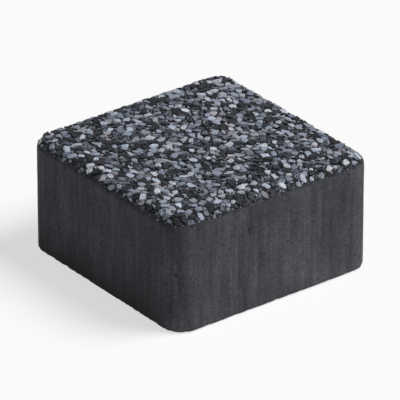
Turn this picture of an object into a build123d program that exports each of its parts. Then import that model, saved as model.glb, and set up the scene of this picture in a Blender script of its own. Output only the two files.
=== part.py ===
"""Square concrete paver: a pressed block with rounded upright corners and a rounded rim on top."""

import os

from build123d import *

# Driving dimensions, in millimetres
LENGTH = 118.0  # along X, the work size of a unit that is laid on a 120 mm grid
WIDTH = 118.0  # along Y
THICKNESS = 60.0  # bed face to wearing face
CORNER_RADIUS = 11.0  # upright corners, as the mould gives them
RIM_RADIUS = 6.0  # round-over from the wearing face down to the sides
BED_ARRIS = 1.0  # small bevel round the bed face

# The block stands on its bed face, centred on the origin, with the wearing face on top
with BuildPart() as paver:
    with BuildSketch(Plane.XY):
        RectangleRounded(LENGTH, WIDTH, CORNER_RADIUS)
    extrude(amount=THICKNESS)

    wearing_face = faces().sort_by(Axis.Z)[-1]
    fillet(wearing_face.edges(), radius=RIM_RADIUS)

    bed_face = faces().sort_by(Axis.Z)[0]
    chamfer(bed_face.edges(), length=BED_ARRIS)

paver.part.label = "paver"

os.makedirs("parts", exist_ok=True)
export_step(paver.part, "parts/paver.step")
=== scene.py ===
"""Dresses the square concrete paver: a pressed charcoal block with crushed granite washed out on top."""

from collections import namedtuple
import itertools
import math

import bmesh
import bpy
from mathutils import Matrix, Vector


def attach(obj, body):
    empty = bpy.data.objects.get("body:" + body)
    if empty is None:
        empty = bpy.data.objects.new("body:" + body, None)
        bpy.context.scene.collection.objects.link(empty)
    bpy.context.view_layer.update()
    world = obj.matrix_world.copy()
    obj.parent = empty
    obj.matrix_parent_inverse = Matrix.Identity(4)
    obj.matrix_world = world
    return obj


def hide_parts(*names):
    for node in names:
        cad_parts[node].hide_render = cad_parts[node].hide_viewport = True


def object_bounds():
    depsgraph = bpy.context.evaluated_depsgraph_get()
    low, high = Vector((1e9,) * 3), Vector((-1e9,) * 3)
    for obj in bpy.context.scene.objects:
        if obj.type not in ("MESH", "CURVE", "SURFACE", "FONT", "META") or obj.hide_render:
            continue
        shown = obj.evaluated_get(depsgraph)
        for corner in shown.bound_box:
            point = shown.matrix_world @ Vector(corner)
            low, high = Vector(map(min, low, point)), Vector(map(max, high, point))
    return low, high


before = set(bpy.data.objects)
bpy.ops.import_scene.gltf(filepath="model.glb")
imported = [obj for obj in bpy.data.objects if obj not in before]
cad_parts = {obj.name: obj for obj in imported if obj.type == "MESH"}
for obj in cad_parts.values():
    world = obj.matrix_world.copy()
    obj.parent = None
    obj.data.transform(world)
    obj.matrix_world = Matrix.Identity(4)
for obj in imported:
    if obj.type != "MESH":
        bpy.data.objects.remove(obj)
cad_low, cad_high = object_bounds()

MM = 0.001

# Camera: the photograph's viewing angle in degrees, a long lens because its view is nearly parallel, and the
# width that the picture takes in
CAMERA_AZIMUTH = -37.5
CAMERA_ELEVATION = 27.7
CAMERA_LENS = 500.0
CAMERA_SENSOR = 36.0
FRAME_WIDTH = 192.0 * MM

# Light: where the key comes from, its strength, its spread in degrees, the even surround, and how much of the
# floor's white is its own glow
KEY_FROM = (0.45, -0.36, 0.82)
KEY_STRENGTH = 3.33
KEY_SOFTNESS = 30.0
SURROUND = 0.05
PAPER_GLOW = 0.65
FLOOR_HALF = 3.0
FLOOR_GAP = 0.05 * MM

# Grades of crushed stone: the size, the corners that a chip is hewn from, its tones from 0, black, to 1,
# pale, how far it stands out of the washed paste, and how far up a surface has to face to show it
Grade = namedtuple("Grade", "name size corners tones stands_out facing")
GRADES = (
    Grade("Coarse Chip", 4.4 * MM, 18, (0.0, 1.00), (0.55 * MM, 0.90 * MM), 0.56),
    Grade("Medium Chip", 3.0 * MM, 14, (0.0, 0.95), (0.45 * MM, 0.90 * MM), 0.42),
    Grade("Fine Chip", 1.8 * MM, 11, (0.0, 0.85), (0.30 * MM, 0.80 * MM), 0.28),
    Grade("Grit", 1.1 * MM, 8, (0.0, 0.60), (0.10 * MM, 0.45 * MM), 0.16),
)

# Chips: the first seed of their random draws and the step between the seeds of shapes, the shapes in a grade,
# the tries in a square of one size, how far apart chips of a grade lie in sizes, the part of two chips' sizes
# that a larger one keeps clear, the tilt in radians, and the least and greatest share of the grade's size
CHIP_SEED = 37
SHAPE_SEED_STEP = 100
CHIP_SHAPES = 12
CHIP_TRIES = 12
CHIP_SPACING = 0.78
CHIP_CLEARANCE = 0.34
CHIP_TILT = 0.14
CHIP_SHARES = (0.85, 1.25)

# How far up a surface faces is the upward part of its normal: 1 on the wearing face and 0 on the sides.
# Between each pair of values: the washing, the dark bare paste with painted shade of the gaps between chips,
# clean chips, and full-sized chips set in round the rim
WASHED_FROM, WASHED_TO = 0.15, 0.80
PASTE_SHADE_FROM, PASTE_SHADE_TO = 0.10, 0.55
CLEAN_FROM, CLEAN_TO = 0.25, 0.85
GROWN_FROM, GROWN_TO = 0.20, 0.95

# Low on the rim: how uneven the chips' limit is, and the shares of a chip's size and height that are left
RIM_SPREAD = 0.12
RIM_CHIP_SHARE = 0.55
RIM_CHIP_SHOWN = 0.15

# The film of paste on a chip: its share on the wearing face, where less than 0 is none, and how patchy it is
FILM_ON_TOP = -0.15
FILM_PATCHY = 0.2

# The marks of washing and pressing on the block's skin
BLOCK_MESH = 0.9 * MM
DRAG_WIDTH = 2.4 * MM
DRAG_LENGTH = 32.0 * MM
BLOCK_SIZES = {
    "Wash Depth": 0.9 * MM,
    "Hollow Width": 2.6 * MM,
    "Pore Spacing": 8.0 * MM,
    "Pore Radius": 1.4 * MM,
    "Wave Length": 16.0 * MM,
    "Wave Height": 0.15 * MM,
    "Drag Width": DRAG_WIDTH,
    "Drag Length": DRAG_LENGTH,
    "Drag Depth": 0.06 * MM,
    "Crumb Width": 3.0 * MM,
    "Crumble Height": 3.0 * MM,
    "Crumble Depth": 0.5 * MM,
}
CHIP_SIZES = {"Wash Depth": BLOCK_SIZES["Wash Depth"], **{grade.name: grade.size for grade in GRADES}}

# A noise texture's values lie mostly between these two
NOISE_LOW, NOISE_HIGH = 0.3, 0.7


def linear(hex_colour):
    """An sRGB hex value as the linear colour that a node's socket takes."""
    parts = [int(hex_colour[i:i + 2], 16) / 255 for i in (1, 3, 5)]
    return [c / 12.92 if c <= 0.04045 else ((c + 0.055) / 1.055) ** 2.4 for c in parts] + [1.0]


def in_use(sockets, key):
    """The socket with this name or number, among those that the node's settings leave in use."""
    shown = [socket for socket in sockets if socket.enabled]
    return shown[key] if isinstance(key, int) else next(socket for socket in shown if socket.name == key)


def add(tree, kind, inputs=None, stops=(), **settings):
    """Adds a node with its settings and colour stops. An input gets a value, a socket or a node's output."""
    node = tree.nodes.new(kind)
    for name, value in settings.items():
        setattr(node, name, value)
    for key, value in (inputs or {}).items():
        if isinstance(value, bpy.types.Node):
            value = in_use(value.outputs, 0)
        if isinstance(value, bpy.types.NodeSocket):
            tree.links.new(value, in_use(node.inputs, key))
        else:
            in_use(node.inputs, key).default_value = value
    for number, (place, colour) in enumerate(stops):
        elements = node.color_ramp.elements
        element = elements[number] if number < len(elements) else elements.new(place)
        element.position = place
        element.color = linear(colour)
    return node


def new_tree(name, sizes):
    """A Geometry Nodes tree with a geometry, a material and named lengths as its inputs."""
    tree = bpy.data.node_groups.new(name, "GeometryNodeTree")
    tree.interface.new_socket("Geometry", in_out="OUTPUT", socket_type="NodeSocketGeometry")
    tree.interface.new_socket("Geometry", in_out="INPUT", socket_type="NodeSocketGeometry")
    tree.interface.new_socket("Material", in_out="INPUT", socket_type="NodeSocketMaterial")
    for size in sizes:
        tree.interface.new_socket(size, in_out="INPUT", socket_type="NodeSocketFloat")
    return tree, tree.nodes.new("NodeGroupInput").outputs


def shaped_by(piece, tree, values):
    """Runs a tree on a piece with the given inputs, and leaves the result as the piece's plain mesh."""
    modifier = piece.modifiers.new(tree.name, "NODES")
    modifier.node_group = tree
    for item in tree.interface.items_tree:
        if item.in_out == "INPUT" and item.name in values:
            modifier[item.identifier] = values[item.name]
    evaluated = piece.evaluated_get(bpy.context.evaluated_depsgraph_get())
    mesh = bpy.data.meshes.new_from_object(evaluated)
    piece.modifiers.clear()
    piece.data = mesh
    mesh.name = piece.name


def node_copy(node, name):
    """A new piece with a node's own triangles, joined where they meet."""
    mesh = bpy.data.meshes.new(name)
    shell = bmesh.new()
    shell.from_mesh(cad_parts[node].data)
    bmesh.ops.remove_doubles(shell, verts=shell.verts, dist=0.001 * MM)
    shell.to_mesh(mesh)
    shell.free()
    mesh.materials.clear()
    piece = bpy.data.objects.new(name, mesh)
    bpy.context.scene.collection.objects.link(piece)
    return piece


def paste_depth(tree, given, place, washed):
    """Washed paste lies lower between the chips, by an uneven depth."""
    least, most = 0.6, 1.4
    spaced = add(tree, "ShaderNodeVectorMath", {0: place, 1: given["Hollow Width"]}, operation="DIVIDE")
    hollows = add(tree, "ShaderNodeTexNoise", {"Vector": spaced, "Scale": 1.0, "Detail": 2.0})
    uneven = add(tree, "ShaderNodeMapRange", {0: hollows, 1: NOISE_LOW, 2: NOISE_HIGH, 3: least, 4: most})
    depth = add(tree, "ShaderNodeMath", {0: washed, 1: given["Wash Depth"]}, operation="MULTIPLY")
    return add(tree, "ShaderNodeMath", {0: depth, 1: uneven}, operation="MULTIPLY")


def pore_depth(tree, given, place, washed):
    """Round pores of trapped air in the skin that wasn't washed, in half of the cells of a random pattern."""
    cells_without = 0.5
    spaced = add(tree, "ShaderNodeVectorMath", {0: place, 1: given["Pore Spacing"]}, operation="DIVIDE")
    cells = add(tree, "ShaderNodeTexVoronoi", {"Vector": spaced, "Scale": 1.0})
    away = add(tree, "ShaderNodeMath", {0: cells, 1: given["Pore Spacing"]}, operation="MULTIPLY")
    draw = add(tree, "ShaderNodeSeparateXYZ", {0: cells.outputs["Color"]})
    share = add(tree, "ShaderNodeMapRange", {0: draw, 1: cells_without, 2: 1.0})
    radius = add(tree, "ShaderNodeMath", {0: share, 1: given["Pore Radius"]}, operation="MULTIPLY")
    bowl = add(tree, "ShaderNodeMath", {0: radius, 1: away}, operation="SUBTRACT", use_clamp=True)
    kept = add(tree, "ShaderNodeMath", {0: 1.0, 1: washed}, operation="SUBTRACT")
    return add(tree, "ShaderNodeMath", {0: bowl, 1: kept}, operation="MULTIPLY")


def wave_depth(tree, given, place):
    """Slow waves of the skin."""
    spaced = add(tree, "ShaderNodeVectorMath", {0: place, 1: given["Wave Length"]}, operation="DIVIDE")
    waves = add(tree, "ShaderNodeTexNoise", {"Vector": spaced, "Scale": 1.0, "Detail": 3.0})
    swing = add(tree, "ShaderNodeMapRange", {0: waves, 3: -1.0, 4: 1.0})
    return add(tree, "ShaderNodeMath", {0: swing, 1: given["Wave Height"]}, operation="MULTIPLY")


def drag_depth(tree, given, place, upward):
    """Upright marks on the sides, dragged by the walls of the mould, which fade as the skin leans."""
    faded_lean = 0.6
    grain = add(tree, "ShaderNodeCombineXYZ",
                {0: given["Drag Width"], 1: given["Drag Width"], 2: given["Drag Length"]})
    spaced = add(tree, "ShaderNodeVectorMath", {0: place, 1: grain}, operation="DIVIDE")
    drags = add(tree, "ShaderNodeTexNoise", {"Vector": spaced, "Scale": 1.0, "Detail": 2.0})
    swing = add(tree, "ShaderNodeMapRange", {0: drags, 1: NOISE_LOW, 2: NOISE_HIGH, 3: -1.0, 4: 1.0})
    lean = add(tree, "ShaderNodeMath", {0: upward}, operation="ABSOLUTE")
    beside = add(tree, "ShaderNodeMapRange", {0: lean, 1: 0.0, 2: faded_lean, 3: 1.0, 4: 0.0})
    depth = add(tree, "ShaderNodeMath", {0: swing, 1: beside}, operation="MULTIPLY")
    return add(tree, "ShaderNodeMath", {0: depth, 1: given["Drag Depth"]}, operation="MULTIPLY")


def crumble_depth(tree, given, place):
    """Crumbs lost from the bed face and along its edge, where the block slid off its board."""
    lost_from, lost_all = 0.45, 0.75
    height = add(tree, "ShaderNodeSeparateXYZ", {0: place}).outputs["Z"]
    low = add(tree, "ShaderNodeMapRange", {0: height, 1: 0.0, 2: given["Crumble Height"], 3: 1.0, 4: 0.0})
    spaced = add(tree, "ShaderNodeVectorMath", {0: place, 1: given["Crumb Width"]}, operation="DIVIDE")
    crumbs = add(tree, "ShaderNodeTexNoise", {"Vector": spaced, "Scale": 1.0, "Detail": 2.0})
    lost = add(tree, "ShaderNodeMapRange", {0: crumbs, 1: lost_from, 2: lost_all})
    depth = add(tree, "ShaderNodeMath", {0: low, 1: lost}, operation="MULTIPLY")
    return add(tree, "ShaderNodeMath", {0: depth, 1: given["Crumble Depth"]}, operation="MULTIPLY")


def washed_block_tree():
    """Moves a block's skin inwards: washed paste on top, and the marks of pressing on the sides."""
    tree, given = new_tree("washed_block", BLOCK_SIZES)
    place = add(tree, "GeometryNodeInputPosition")
    normal = add(tree, "GeometryNodeInputNormal")
    upward = add(tree, "ShaderNodeSeparateXYZ", {0: normal}).outputs["Z"]
    washed = add(tree, "ShaderNodeMapRange", {0: upward, 1: WASHED_FROM, 2: WASHED_TO},
                 interpolation_type="SMOOTHSTEP")
    # Where the paste is bare: the material paints it dark, partly as painted shade of the gaps between chips
    paste_shade_mask = add(tree, "ShaderNodeMapRange", {0: upward, 1: PASTE_SHADE_FROM, 2: PASTE_SHADE_TO},
               interpolation_type="SMOOTHSTEP")
    pores = pore_depth(tree, given, place, washed)
    depth = paste_depth(tree, given, place, washed)
    for more in (pores, wave_depth(tree, given, place), drag_depth(tree, given, place, upward),
                 crumble_depth(tree, given, place)):
        depth = add(tree, "ShaderNodeMath", {0: depth, 1: more}, operation="ADD")

    skin = given["Geometry"]
    # Each pore's depth as a share, which the material uses to paint shade inside the pore
    painted_pore_shade = add(tree, "ShaderNodeMath", {0: pores, 1: given["Pore Radius"]}, operation="DIVIDE")
    for name, value in (("dark_paste_and_shade", paste_shade_mask), ("painted_pore_shade", painted_pore_shade)):
        skin = add(tree, "GeometryNodeStoreNamedAttribute", {0: skin, "Name": name, "Value": value},
                   domain="POINT")
    inward = add(tree, "ShaderNodeMath", {0: depth, 1: -1.0}, operation="MULTIPLY")
    offset = add(tree, "ShaderNodeVectorMath", {0: normal, "Scale": inward}, operation="SCALE")
    moved = add(tree, "GeometryNodeSetPosition", {0: skin, "Offset": offset})
    smooth = add(tree, "GeometryNodeSetShadeSmooth", {0: moved})
    whole = add(tree, "GeometryNodeRealizeInstances", {0: smooth})
    coated = add(tree, "GeometryNodeSetMaterial", {0: whole, "Material": given["Material"]})
    add(tree, "NodeGroupOutput", {0: coated})
    return tree


def chip_shapes(tree, corners, seed):
    """Crushed chips about one unit across, each with a flat facet on top, at height 0, and a body below."""
    mean_half = 0.5
    half_height = 0.42
    stretch, stretch_step = 0.12, 1.7
    facet_share, facet_swing, facet_step = 0.37, 0.18, 2.4
    shapes = add(tree, "GeometryNodeJoinGeometry")
    for number in range(CHIP_SHAPES):
        half_length = mean_half + stretch * math.sin(number * stretch_step)
        half_width = mean_half ** 2 / half_length
        facet = half_height * (facet_share + facet_swing * math.sin(number * facet_step))
        draw = add(tree, "FunctionNodeRandomValue",
                   {"Min": (-1, -1, -1), "Max": (1, 1, 1), "Seed": seed + number}, data_type="FLOAT_VECTOR")
        outward = add(tree, "ShaderNodeVectorMath", {0: draw}, operation="NORMALIZE")
        spread = add(tree, "ShaderNodeVectorMath", {0: outward, 1: (half_length, half_width, half_height)},
                     operation="MULTIPLY")
        along = add(tree, "ShaderNodeSeparateXYZ", {0: spread}).outputs
        capped = add(tree, "ShaderNodeMath", {0: along["Z"], 1: facet}, operation="MINIMUM")
        corner = add(tree, "ShaderNodeCombineXYZ", {0: along["X"], 1: along["Y"], 2: capped})
        points = add(tree, "GeometryNodePoints", {"Count": corners, "Position": corner})
        hull = add(tree, "GeometryNodeConvexHull", {0: points})
        seated = add(tree, "GeometryNodeTransform", {0: hull, "Translation": (0, 0, -facet)})
        chip = add(tree, "GeometryNodeGeometryToInstance", {0: seated})
        tree.links.new(chip.outputs[0], shapes.inputs[0])
    return shapes


def seen_from_above(tree, chips, box):
    """Gives chips a map for baking: tops as seen from above in its larger part, undersides in the rest."""
    top_share = 0.75
    margin = 0.01
    place = add(tree, "GeometryNodeInputPosition")
    inside = add(tree, "ShaderNodeVectorMath", {0: place, 1: box.outputs["Min"]}, operation="SUBTRACT")
    span = add(tree, "ShaderNodeVectorMath", {0: box.outputs["Max"], 1: box.outputs["Min"]},
               operation="SUBTRACT")
    share = add(tree, "ShaderNodeVectorMath", {0: inside, 1: span}, operation="DIVIDE")
    normal = add(tree, "GeometryNodeInputNormal")
    upward = add(tree, "ShaderNodeSeparateXYZ", {0: normal}).outputs["Z"]
    upward = add(tree, "GeometryNodeFieldOnDomain", {0: upward}, domain="FACE")
    under = add(tree, "ShaderNodeMath", {0: upward, 1: 0.0}, operation="LESS_THAN")
    aside = add(tree, "ShaderNodeMapRange", {0: under, 3: margin, 4: top_share + margin})
    start = add(tree, "ShaderNodeCombineXYZ", {"X": aside, "Y": margin})
    wide = add(tree, "ShaderNodeMapRange",
               {0: under, 3: top_share - 2 * margin, 4: 1 - top_share - 2 * margin})
    room = add(tree, "ShaderNodeCombineXYZ", {"X": wide, "Y": 1 - 2 * margin})
    laid_out = add(tree, "ShaderNodeVectorMath", {0: share, 1: room, 2: start}, operation="MULTIPLY_ADD")
    return add(tree, "GeometryNodeStoreNamedAttribute", {0: chips, "Name": "OFBake", "Value": laid_out},
               domain="CORNER", data_type="FLOAT2")


def washed_chips_tree():
    """Beds crushed chips in a block's wearing face and down its rim, coarse ones first."""
    tree, given = new_tree("washed_chips", CHIP_SIZES)
    seeds = itertools.count(CHIP_SEED)
    chips = add(tree, "GeometryNodeJoinGeometry")
    laid = []
    for grade in GRADES:
        size = given[grade.name]
        apart = add(tree, "ShaderNodeMath", {0: size, 1: CHIP_SPACING}, operation="MULTIPLY")
        scatter = add(tree, "GeometryNodeDistributePointsOnFaces",
                      {"Mesh": given["Geometry"], "Distance Min": apart,
                       "Density Max": CHIP_TRIES / grade.size ** 2, "Seed": next(seeds)},
                      distribute_method="POISSON")
        normal = scatter.outputs["Normal"]
        upward = add(tree, "ShaderNodeSeparateXYZ", {0: normal}).outputs["Z"]

        # The rim holds a chip down to its own uneven limit, and only where no larger chip lies
        limit = add(tree, "FunctionNodeRandomValue",
                    {"Min": grade.facing - RIM_SPREAD, "Max": grade.facing + RIM_SPREAD, "Seed": next(seeds)})
        leaning = add(tree, "FunctionNodeCompare", {"A": upward, "B": limit}, operation="LESS_THAN")
        points = add(tree, "GeometryNodeDeleteGeometry", {0: scatter, "Selection": leaning}, domain="POINT")
        for larger, larger_size in laid:
            reach = add(tree, "ShaderNodeMath", {0: larger_size, 1: size}, operation="ADD")
            reach = add(tree, "ShaderNodeMath", {0: reach, 1: CHIP_CLEARANCE}, operation="MULTIPLY")
            near = add(tree, "GeometryNodeProximity", {0: larger}, target_element="POINTS")
            taken = add(tree, "FunctionNodeCompare", {"A": near.outputs["Distance"], "B": reach},
                        operation="LESS_THAN")
            points = add(tree, "GeometryNodeDeleteGeometry", {0: points, "Selection": taken}, domain="POINT")
        laid.append((points, size))

        # Each chip stands out of the paste by its own height, and hardly at all lower down the rim
        washed = add(tree, "ShaderNodeMapRange", {0: upward, 1: WASHED_FROM, 2: WASHED_TO},
                     interpolation_type="SMOOTHSTEP")
        paste = add(tree, "ShaderNodeMath", {0: washed, 1: given["Wash Depth"]}, operation="MULTIPLY")
        own = add(tree, "FunctionNodeRandomValue",
                  {"Min": grade.stands_out[0], "Max": grade.stands_out[1], "Seed": next(seeds)})
        shown = add(tree, "ShaderNodeMapRange", {0: washed, 3: RIM_CHIP_SHOWN, 4: 1.0})
        proud = add(tree, "ShaderNodeMath", {0: own, 1: shown}, operation="MULTIPLY")
        height = add(tree, "ShaderNodeMath", {0: proud, 1: paste}, operation="SUBTRACT")
        offset = add(tree, "ShaderNodeVectorMath", {0: normal, "Scale": height}, operation="SCALE")
        bedded = add(tree, "GeometryNodeSetPosition", {0: points, "Offset": offset})

        # Each chip has its own turn, tilt, size and shape
        turn = add(tree, "FunctionNodeRandomValue",
                   {"Min": (-CHIP_TILT, -CHIP_TILT, -math.pi), "Max": (CHIP_TILT, CHIP_TILT, math.pi),
                    "Seed": next(seeds)}, data_type="FLOAT_VECTOR")
        turn = add(tree, "FunctionNodeEulerToRotation", {0: turn})
        turned = add(tree, "FunctionNodeRotateRotation", {0: scatter.outputs["Rotation"], 1: turn},
                     rotation_space="LOCAL")
        share = add(tree, "FunctionNodeRandomValue",
                    {"Min": CHIP_SHARES[0], "Max": CHIP_SHARES[1], "Seed": next(seeds)})
        scale = add(tree, "ShaderNodeMath", {0: share, 1: size}, operation="MULTIPLY")
        grown = add(tree, "ShaderNodeMapRange",
                    {0: upward, 1: GROWN_FROM, 2: GROWN_TO, 3: RIM_CHIP_SHARE, 4: 1.0})
        scale = add(tree, "ShaderNodeMath", {0: scale, 1: grown}, operation="MULTIPLY")
        pick = add(tree, "FunctionNodeRandomValue", {"Min": 0, "Max": CHIP_SHAPES - 1, "Seed": next(seeds)},
                   data_type="INT")
        shapes = chip_shapes(tree, grade.corners, SHAPE_SEED_STEP * grade.corners)
        set_in = add(tree, "GeometryNodeInstanceOnPoints",
                     {"Points": bedded, "Instance": shapes, "Pick Instance": True, "Instance Index": pick,
                      "Rotation": turned, "Scale": scale})

        # The chip's own grey and hue, and the film of paste left on it, thicker down the rim
        tone = add(tree, "FunctionNodeRandomValue",
                   {"Min": grade.tones[0], "Max": grade.tones[1], "Seed": next(seeds)})
        tint = add(tree, "FunctionNodeRandomValue", {"Min": 0.0, "Max": 1.0, "Seed": next(seeds)})
        patchy = add(tree, "FunctionNodeRandomValue",
                     {"Min": -FILM_PATCHY, "Max": FILM_PATCHY, "Seed": next(seeds)})
        covered = add(tree, "ShaderNodeMapRange",
                      {0: upward, 1: CLEAN_FROM, 2: CLEAN_TO, 3: 1.0, 4: FILM_ON_TOP})
        film = add(tree, "ShaderNodeMath", {0: covered, 1: patchy}, operation="ADD", use_clamp=True)
        for name, value in (("chip_tone", tone), ("chip_tint", tint), ("paste_film", film)):
            set_in = add(tree, "GeometryNodeStoreNamedAttribute", {0: set_in, "Name": name, "Value": value},
                         domain="INSTANCE")
        tree.links.new(set_in.outputs[0], chips.inputs[0])

    whole = add(tree, "GeometryNodeRealizeInstances", {0: chips})
    faceted = add(tree, "GeometryNodeSetShadeSmooth", {0: whole, "Shade Smooth": False})
    mapped = seen_from_above(tree, faceted, add(tree, "GeometryNodeBoundBox", {0: given["Geometry"]}))
    coated = add(tree, "GeometryNodeSetMaterial", {0: mapped, "Material": given["Material"]})
    add(tree, "NodeGroupOutput", {0: coated})
    return tree


def new_material(name):
    """A material with an empty node tree."""
    material = bpy.data.materials.new(name)
    material.use_nodes = True
    material.node_tree.nodes.clear()
    return material, material.node_tree


def crushed_granite():
    """Crushed dark granite and basalt, 1 to 5 mm, washed clean of paste.

    Broken faces: each chip has its own grey, from near black to a pale quartz, with a salt and pepper of
    small crystals in it, and hardly a sheen.
    """
    crystal = 0.7 * MM
    crystal_shift = 0.12
    speckle_shift = 0.12
    ragged_grain = 0.5 * MM
    ragged_shift = 0.9 * MM
    broken_grain = 0.45 * MM
    broken_depth = 0.15 * MM
    material, tree = new_material("crushed_granite")
    place = add(tree, "ShaderNodeTexCoord").outputs["Object"]
    tone = add(tree, "ShaderNodeAttribute", attribute_name="chip_tone").outputs["Fac"]
    tint = add(tree, "ShaderNodeAttribute", attribute_name="chip_tint").outputs["Fac"]
    film = add(tree, "ShaderNodeAttribute", attribute_name="paste_film").outputs["Fac"]

    # Crystals with ragged edges, and a fine speckle over them, shift the chip's own grey
    edges = add(tree, "ShaderNodeTexNoise", {"Vector": place, "Scale": 1 / ragged_grain}).outputs["Color"]
    ragged = add(tree, "ShaderNodeVectorMath", {0: edges, 1: (ragged_shift,) * 3, 2: place},
                 operation="MULTIPLY_ADD")
    crystals = add(tree, "ShaderNodeTexVoronoi", {"Vector": ragged, "Scale": 1 / crystal}).outputs["Color"]
    draw = add(tree, "ShaderNodeSeparateColor", {0: crystals})
    shift = add(tree, "ShaderNodeMapRange", {0: draw, 3: -crystal_shift, 4: crystal_shift})
    grain = add(tree, "ShaderNodeTexNoise", {"Vector": place, "Scale": 1 / broken_grain, "Detail": 3.0})
    speckle = add(tree, "ShaderNodeMapRange",
                  {0: grain, 1: NOISE_LOW, 2: NOISE_HIGH, 3: -speckle_shift, 4: speckle_shift})
    crystalline = add(tree, "ShaderNodeMath", {0: tone, 1: shift}, operation="ADD")
    grey = add(tree, "ShaderNodeMath", {0: crystalline, 1: speckle}, operation="ADD", use_clamp=True)
    stone = add(tree, "ShaderNodeValToRGB", {0: grey}, stops=(
        (0.00, "#101216"), (0.34, "#22252a"), (0.46, "#757984"),
        (0.75, "#989ca6"), (0.95, "#b4b8c1"), (1.00, "#d2d5da")))
    hue = add(tree, "ShaderNodeValToRGB", {0: tint}, stops=(
        (0.0, "#f4ecec"), (0.3, "#ffffff"), (0.7, "#eef3ff"), (1.0, "#e8f2f6")))
    own = add(tree, "ShaderNodeMix", {"Factor": 1.0, "A": stone, "B": hue}, data_type="RGBA",
              blend_type="MULTIPLY")
    colour = add(tree, "ShaderNodeMix", {"Factor": film, "A": own, "B": linear("#434448")}, data_type="RGBA")

    bump = add(tree, "ShaderNodeBump", {"Strength": 0.5, "Distance": broken_depth, "Height": grain})
    shine = add(tree, "ShaderNodeMapRange", {0: draw, 3: 0.45, 4: 0.75})
    shader = add(tree, "ShaderNodeBsdfPrincipled",
                 {"Base Color": colour, "Roughness": shine, "IOR": 1.54, "Specular IOR Level": 0.15,
                  "Normal": bump})
    add(tree, "ShaderNodeOutputMaterial", {0: shader})
    return material


def pressed_concrete():
    """Charcoal-pigmented concrete, pressed in a steel mould and pushed out of it.

    A tight matt skin: slow clouds of lighter and darker grey, upright drag marks from the mould's walls,
    sand grains just under the skin, and pores with painted shade in them.
    """
    cloud = 22.0 * MM
    fine_sand = 0.7 * MM
    sand_grain = 0.9 * MM
    sand_depth = 0.15 * MM
    ragged_grain = 0.5 * MM
    ragged_shift = 1.0 * MM
    pin_spacing = 2.5 * MM
    pin_radius = 0.6 * MM
    pin_edge = 0.15 * MM
    material, tree = new_material("pressed_concrete")
    place = add(tree, "ShaderNodeTexCoord").outputs["Object"]
    clouds = add(tree, "ShaderNodeTexNoise", {"Vector": place, "Scale": 1 / cloud, "Detail": 4.0})
    spaced = add(tree, "ShaderNodeMapping",
                 {"Vector": place, "Scale": (1 / DRAG_WIDTH, 1 / DRAG_WIDTH, 1 / DRAG_LENGTH)})
    drags = add(tree, "ShaderNodeTexNoise", {"Vector": spaced, "Scale": 1.0, "Detail": 2.0})
    both = add(tree, "ShaderNodeMix", {"Factor": 0.5, "A": clouds, "B": drags})
    skin = add(tree, "ShaderNodeValToRGB", {0: both}, stops=(
        (NOISE_LOW, "#444549"), (0.5, "#595a60"), (NOISE_HIGH, "#717279")))

    # Fine sand all through the skin, and ragged grains among it, of which a few are paler or darker
    fine = add(tree, "ShaderNodeTexNoise",
               {"Vector": place, "Scale": 1 / fine_sand, "Detail": 5.0, "Roughness": 0.7})
    dusted = add(tree, "ShaderNodeValToRGB", {0: fine}, stops=(
        (NOISE_LOW, "#bcbcbc"), (NOISE_HIGH, "#ffffff")))
    edges = add(tree, "ShaderNodeTexNoise", {"Vector": place, "Scale": 1 / ragged_grain}).outputs["Color"]
    ragged = add(tree, "ShaderNodeVectorMath", {0: edges, 1: (ragged_shift,) * 3, 2: place},
                 operation="MULTIPLY_ADD")
    sand = add(tree, "ShaderNodeTexVoronoi", {"Vector": ragged, "Scale": 1 / sand_grain})
    draw = add(tree, "ShaderNodeSeparateColor", {0: sand.outputs["Color"]})
    grained = add(tree, "ShaderNodeValToRGB", {0: draw}, stops=(
        (0.0, "#b0b0b0"), (0.15, "#dcdcdc"), (0.8, "#e4e4e4"), (1.0, "#ffffff")))
    for pattern in (dusted, grained):
        skin = add(tree, "ShaderNodeMix", {"Factor": 1.0, "A": skin, "B": pattern}, data_type="RGBA",
                   blend_type="MULTIPLY")

    # The bare paste between the washed chips and low on the rim is a darker paste with painted shade of the
    # gaps in it, and a few pale grains
    dark_paste_and_gap_shade = add(tree, "ShaderNodeValToRGB", {0: draw}, stops=(
        (0.0, "#16171a"), (0.7, "#1e1f23"), (0.85, "#303136"), (1.0, "#55565c")))
    paste_shade_mask = add(tree, "ShaderNodeAttribute", attribute_name="dark_paste_and_shade").outputs["Fac"]
    surface = add(tree, "ShaderNodeMix", {"Factor": paste_shade_mask, "A": skin, "B": dark_paste_and_gap_shade}, data_type="RGBA")

    # Pores, and pin holes, most of them small, get painted shade: a dark colour inside them
    pins = add(tree, "ShaderNodeTexVoronoi", {"Vector": ragged, "Scale": 1 / pin_spacing})
    size = add(tree, "ShaderNodeSeparateColor", {0: pins.outputs["Color"]})
    share = add(tree, "ShaderNodeMath", {0: size, 1: 3.0}, operation="POWER")
    radius = add(tree, "ShaderNodeMath", {0: share, 1: pin_radius / pin_spacing}, operation="MULTIPLY")
    within = add(tree, "ShaderNodeMath", {0: radius, 1: pins}, operation="SUBTRACT")
    pricked = add(tree, "ShaderNodeMapRange", {0: within, 1: 0.0, 2: pin_edge / pin_spacing})
    painted_pore_shade = add(tree, "ShaderNodeAttribute", attribute_name="painted_pore_shade").outputs["Fac"]
    painted_hole_shade = add(tree, "ShaderNodeMath", {0: pricked, 1: painted_pore_shade}, operation="MAXIMUM", use_clamp=True)
    colour = add(tree, "ShaderNodeMix", {"Factor": painted_hole_shade, "A": surface, "B": linear("#1f2024")},
                 data_type="RGBA")

    rise = add(tree, "ShaderNodeMath", {0: fine, 1: pricked}, operation="SUBTRACT")
    bump = add(tree, "ShaderNodeBump", {"Strength": 0.6, "Distance": sand_depth, "Height": rise})
    shader = add(tree, "ShaderNodeBsdfPrincipled",
                 {"Base Color": colour, "Roughness": 0.82, "IOR": 1.5, "Specular IOR Level": 0.2,
                  "Normal": bump})
    add(tree, "ShaderNodeOutputMaterial", {0: shader})
    return material


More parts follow.
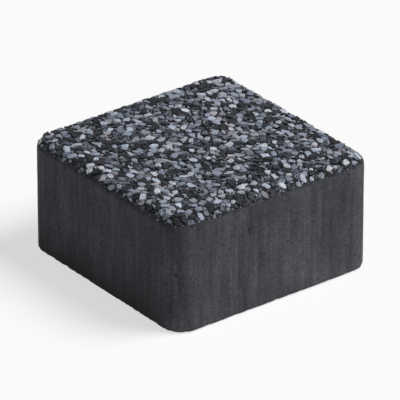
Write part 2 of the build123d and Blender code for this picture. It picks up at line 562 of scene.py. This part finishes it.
def seen_directly(tree):
    """1 for a ray from the camera, a reflection or clear glass, and 0 for light on its way to the object."""
    path = add(tree, "ShaderNodeLightPath").outputs
    seen = add(tree, "ShaderNodeMath", {0: path["Is Camera Ray"], 1: path["Is Glossy Ray"]},
               operation="MAXIMUM")
    return add(tree, "ShaderNodeMath", {0: seen, 1: path["Is Transmission Ray"]}, operation="MAXIMUM")


def paper_floor():
    """Matt white background paper, which glows a little as if lit from behind, so its shadows stay light."""
    material, tree = new_material("paper_floor")
    paper = add(tree, "ShaderNodeBsdfPrincipled",
                {"Base Color": linear("#fafafa"), "Roughness": 0.9, "Specular IOR Level": 0.1})
    glow = add(tree, "ShaderNodeEmission", {"Color": linear("#ffffff"), "Strength": 1.0})
    share = add(tree, "ShaderNodeMath", {0: seen_directly(tree), 1: PAPER_GLOW}, operation="MULTIPLY")
    mixed = add(tree, "ShaderNodeMixShader", {0: share, 1: paper, 2: glow})
    add(tree, "ShaderNodeOutputMaterial", {0: mixed})
    return material


def dress_paver():
    """The block, standing for the one solid, and the chips bedded in it."""
    block = node_copy("paver", "paver_block")
    even = block.modifiers.new("even_mesh", "REMESH")
    even.mode = "VOXEL"
    even.voxel_size = BLOCK_MESH
    shaped_by(block, washed_block_tree(), {"Material": pressed_concrete(), **BLOCK_SIZES})

    chips = node_copy("paver", "granite_chips")
    shaped_by(chips, washed_chips_tree(), {"Material": crushed_granite(), **CHIP_SIZES})

    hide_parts("paver")
    for piece in (block, chips):
        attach(piece, "root")


def lay_floor():
    """White paper just under the paver."""
    mesh = bpy.data.meshes.new("floor")
    shell = bmesh.new()
    bmesh.ops.create_grid(shell, x_segments=1, y_segments=1, size=FLOOR_HALF)
    shell.to_mesh(mesh)
    shell.free()
    mesh.materials.append(paper_floor())
    floor = bpy.data.objects.new("floor", mesh)
    floor.location.z = -FLOOR_GAP
    bpy.context.scene.collection.objects.link(floor)


def light_studio():
    """A soft lamp above and to the right, and an even surround that the camera and gloss see as white."""
    world = bpy.data.worlds.new("studio")
    world.use_nodes = True
    tree = world.node_tree
    tree.nodes.clear()
    strength = add(tree, "ShaderNodeMix", {"Factor": seen_directly(tree), "A": SURROUND, "B": 1.0})
    surround = add(tree, "ShaderNodeBackground", {"Color": linear("#ffffff"), "Strength": strength})
    add(tree, "ShaderNodeOutputWorld", {0: surround})
    bpy.context.scene.world = world

    lamp = bpy.data.lights.new("key", "SUN")
    lamp.energy = KEY_STRENGTH
    lamp.angle = math.radians(KEY_SOFTNESS)
    key = bpy.data.objects.new("key", lamp)
    key.rotation_euler = Vector(KEY_FROM).to_track_quat("Z", "Y").to_euler()
    bpy.context.scene.collection.objects.link(key)


def set_camera(centre):
    """A long lens at the photograph's angle."""
    data = bpy.data.cameras.new("camera")
    data.lens = CAMERA_LENS
    data.sensor_width = CAMERA_SENSOR
    azimuth = math.radians(CAMERA_AZIMUTH)
    elevation = math.radians(CAMERA_ELEVATION)
    level = math.cos(elevation)
    back = Vector((math.sin(azimuth) * level, -math.cos(azimuth) * level, math.sin(elevation)))
    camera = bpy.data.objects.new("camera", data)
    camera.location = centre + back * (FRAME_WIDTH * CAMERA_LENS / CAMERA_SENSOR)
    camera.rotation_euler = back.to_track_quat("Z", "Y").to_euler()
    bpy.context.scene.collection.objects.link(camera)
    bpy.context.scene.camera = camera


dress_paver()
lay_floor()
light_studio()
set_camera((cad_low + cad_high) / 2)
bpy.context.scene.view_settings.view_transform = "Standard"
